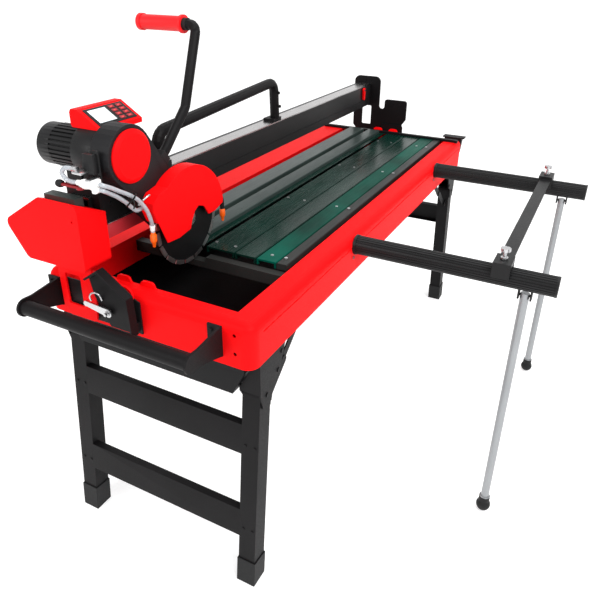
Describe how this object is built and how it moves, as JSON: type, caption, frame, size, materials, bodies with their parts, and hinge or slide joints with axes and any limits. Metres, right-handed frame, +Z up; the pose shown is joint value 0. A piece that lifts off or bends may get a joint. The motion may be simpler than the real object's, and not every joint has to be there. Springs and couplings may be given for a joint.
{
  "type": "bridge tile cutter",
  "caption": "Electric bridge tile cutter with a water trough and table, a tilting rail with a sliding saw head, folding leg frames and a propped side extension with a fence.",
  "frame": {"origin": "middle of the footprint box, on the floor", "axes": "+Z up, +X along the table from the handle end to the far end, +Y towards the bridge side"},
  "size_m": [1.6149, 0.985, 1.129],
  "materials": {
    "alloy": "satin",
    "belt": "matte",
    "black_alloy": "anodised",
    "black_plastic": "matte",
    "black_rubber": "matte",
    "black_sheet": "semi gloss",
    "bright_steel": "satin",
    "cast": "painted",
    "green_boards": "semi gloss",
    "red_plastic": "gloss",
    "red_sheet": "gloss",
    "white_tube": "translucent"
  },
  "bodies": {
    "base": {"front_side_rail": "red_sheet", "back_side_rail": "red_sheet", "near_end_panel": "red_sheet", "far_end_panel": "red_sheet", "corner_caps": "red_sheet", "water_basin": "black_sheet", "table_cross_members": "green_boards", "table_boards": "green_boards", "table_edge_strip": "green_boards", "table_screws": "bright_steel", "far_rest_strip": "black_sheet", "end_handle_tube": "black_sheet", "handle_brackets": "black_sheet", "near_tilt_plate": "black_sheet", "far_tilt_plate": "black_sheet", "extension_arms": "black_alloy", "leg_hangers": "black_sheet", "far_lift_plate": "black_sheet"},
    "tilt_lever": {"tilt_lock_lever": "bright_steel"},
    "bridge": {"bridge_rail": "black_alloy", "rail_top_strip": "bright_steel", "near_swing_plate": "red_sheet", "far_swing_post": "black_sheet", "feed_housing": "red_plastic", "feed_motor": "cast", "feed_belt": "belt"},
    "rail_clamp": {"rail_clamp_lever": "red_sheet"},
    "feed_drive": {"feed_pulley": "bright_steel"},
    "feed_idler": {"idler_pulley": "bright_steel"},
    "carriage_body": {"carriage": "black_alloy", "saw_motor": "black_alloy", "motor_bell": "black_alloy", "cable_arch": "black_sheet", "control_box": "red_plastic", "control_panel": "black_plastic"},
    "head": {"belt_case": "black_plastic", "belt_case_cap": "red_plastic", "blade_guard": "red_sheet", "head_lever": "black_sheet", "lever_grip": "red_plastic", "water_hoses": "white_tube", "hose_fittings": "bright_steel", "drive_belt": "belt"},
    "valve": {"valve_handle": "red_sheet"},
    "rotor": {"motor_rotor": "bright_steel"},
    "blade": {"blade_spindle": "bright_steel", "saw_blade": "bright_steel"},
    "near_legs": {"near_leg_frame": "black_sheet", "near_leg_boots": "black_rubber"},
    "far_legs": {"far_leg_frame": "black_sheet", "far_leg_boots": "black_rubber"},
    "near_link_low": {"near_brace_lower": "black_sheet"},
    "near_link_up": {"near_brace_upper": "black_sheet"},
    "far_link_low": {"far_brace_lower": "black_sheet"},
    "far_link_up": {"far_brace_upper": "black_sheet"},
    "near_support": {"near_prop": "alloy"},
    "far_support": {"far_prop": "alloy"},
    "fence": {"fence_bar": "black_alloy"},
    "clamp_near": {"fence_screw_near": "bright_steel"},
    "clamp_far": {"fence_screw_far": "bright_steel"}
  },
  "joints": [
    {"name": "bridge_tilt", "type": "hinge", "parent": "base", "child": "bridge", "pos_m": [0.0295, 0.2375, 0.655], "axis": [1, 0, 0], "range_deg": [0, 45]},
    {"name": "carriage_slide", "type": "slide", "parent": "bridge", "child": "carriage_body", "axis": [1, 0, 0], "range_m": [0, 0.64]},
    {"name": "head_plunge", "type": "hinge", "parent": "carriage_body", "child": "head", "pos_m": [-0.6355, 0.2995, 0.903], "axis": [0, -1, 0], "range_deg": [0, 12]},
    {"name": "motor_spin", "type": "hinge", "parent": "carriage_body", "child": "rotor", "pos_m": [-0.6355, 0.4155, 0.903], "axis": [0, 1, 0], "continuous": true},
    {"name": "blade_spin", "type": "hinge", "parent": "head", "child": "blade", "pos_m": [-0.5075, 0.2385, 0.74], "axis": [0, 1, 0], "continuous": true},
    {"name": "feed_pulley_turn", "type": "hinge", "parent": "bridge", "child": "feed_drive", "pos_m": [-0.7105, 0.3605, 0.781], "axis": [0, 0, 1], "range_deg": [-2200, 2200]},
    {"name": "idler_turn", "type": "hinge", "parent": "bridge", "child": "feed_idler", "pos_m": [0.7495, 0.3605, 0.781], "axis": [0, 0, 1], "range_deg": [-2200, 2200]},
    {"name": "rail_clamp_turn", "type": "hinge", "parent": "bridge", "child": "rail_clamp", "pos_m": [0.7005, 0.3305, 0.806], "axis": [0, 1, 0], "range_deg": [-90, 90]},
    {"name": "tilt_lock_turn", "type": "hinge", "parent": "base", "child": "tilt_lever", "pos_m": [-0.7265, 0.2735, 0.612], "axis": [1, 0, 0], "range_deg": [0, 60]},
    {"name": "valve_turn", "type": "hinge", "parent": "head", "child": "valve", "pos_m": [-0.7225, 0.2995, 0.861], "axis": [0, 0, 1], "range_deg": [0, 90]},
    {"name": "near_leg_fold", "type": "hinge", "parent": "base", "child": "near_legs", "pos_m": [-0.6485, 0.2155, 0.476], "axis": [0, -1, 0], "range_deg": [0, 95]},
    {"name": "near_link_low_turn", "type": "hinge", "parent": "near_legs", "child": "near_link_low", "pos_m": [-0.62178, 0.2155, 0.42928], "axis": [0, -1, 0], "range_deg": [-73, 1]},
    {"name": "near_link_up_turn", "type": "hinge", "parent": "near_link_low", "child": "near_link_up", "pos_m": [-0.54714, 0.2155, 0.49014], "axis": [0, -1, 0], "range_deg": [-89, 1]},
    {"name": "far_leg_fold", "type": "hinge", "parent": "base", "child": "far_legs", "pos_m": [0.7075, 0.2155, 0.476], "axis": [0, 1, 0], "range_deg": [0, 95]},
    {"name": "far_link_low_turn", "type": "hinge", "parent": "far_legs", "child": "far_link_low", "pos_m": [0.68078, 0.2155, 0.42928], "axis": [0, 1, 0], "range_deg": [-73, 1]},
    {"name": "far_link_up_turn", "type": "hinge", "parent": "far_link_low", "child": "far_link_up", "pos_m": [0.60614, 0.2155, 0.49014], "axis": [0, 1, 0], "range_deg": [-89, 1]},
    {"name": "near_prop_fold", "type": "hinge", "parent": "base", "child": "near_support", "pos_m": [-0.2325, -0.4255, 0.596], "axis": [0, -1, 0], "range_deg": [0, 90]},
    {"name": "far_prop_fold", "type": "hinge", "parent": "base", "child": "far_support", "pos_m": [0.4295, -0.4255, 0.596], "axis": [0, -1, 0], "range_deg": [0, 90]},
    {"name": "fence_slide", "type": "slide", "parent": "base", "child": "fence", "axis": [0, 1, 0], "range_m": [-0.07, 0.29]},
    {"name": "clamp_near_turn", "type": "hinge", "parent": "fence", "child": "clamp_near", "pos_m": [-0.2325, -0.3715, 0.69], "axis": [0, 0, 1], "range_deg": [0, 180]},
    {"name": "clamp_far_turn", "type": "hinge", "parent": "fence", "child": "clamp_far", "pos_m": [0.4295, -0.3715, 0.69], "axis": [0, 0, 1], "range_deg": [0, 180]}
  ],
  "couplings": [
    {"joint": "feed_pulley_turn", "follows": "carriage_slide", "rad_per_m": 51.282},
    {"joint": "idler_turn", "follows": "carriage_slide", "rad_per_m": 51.282},
    {"joint": "blade_spin", "follows": "motor_spin", "ratio": 0.7857},
    {"joint": "near_link_low_turn", "follows": "near_leg_fold", "ratio": -0.756},
    {"joint": "near_link_up_turn", "follows": "near_leg_fold", "ratio": -0.922},
    {"joint": "far_link_low_turn", "follows": "far_leg_fold", "ratio": -0.756},
    {"joint": "far_link_up_turn", "follows": "far_leg_fold", "ratio": -0.922}
  ]
}
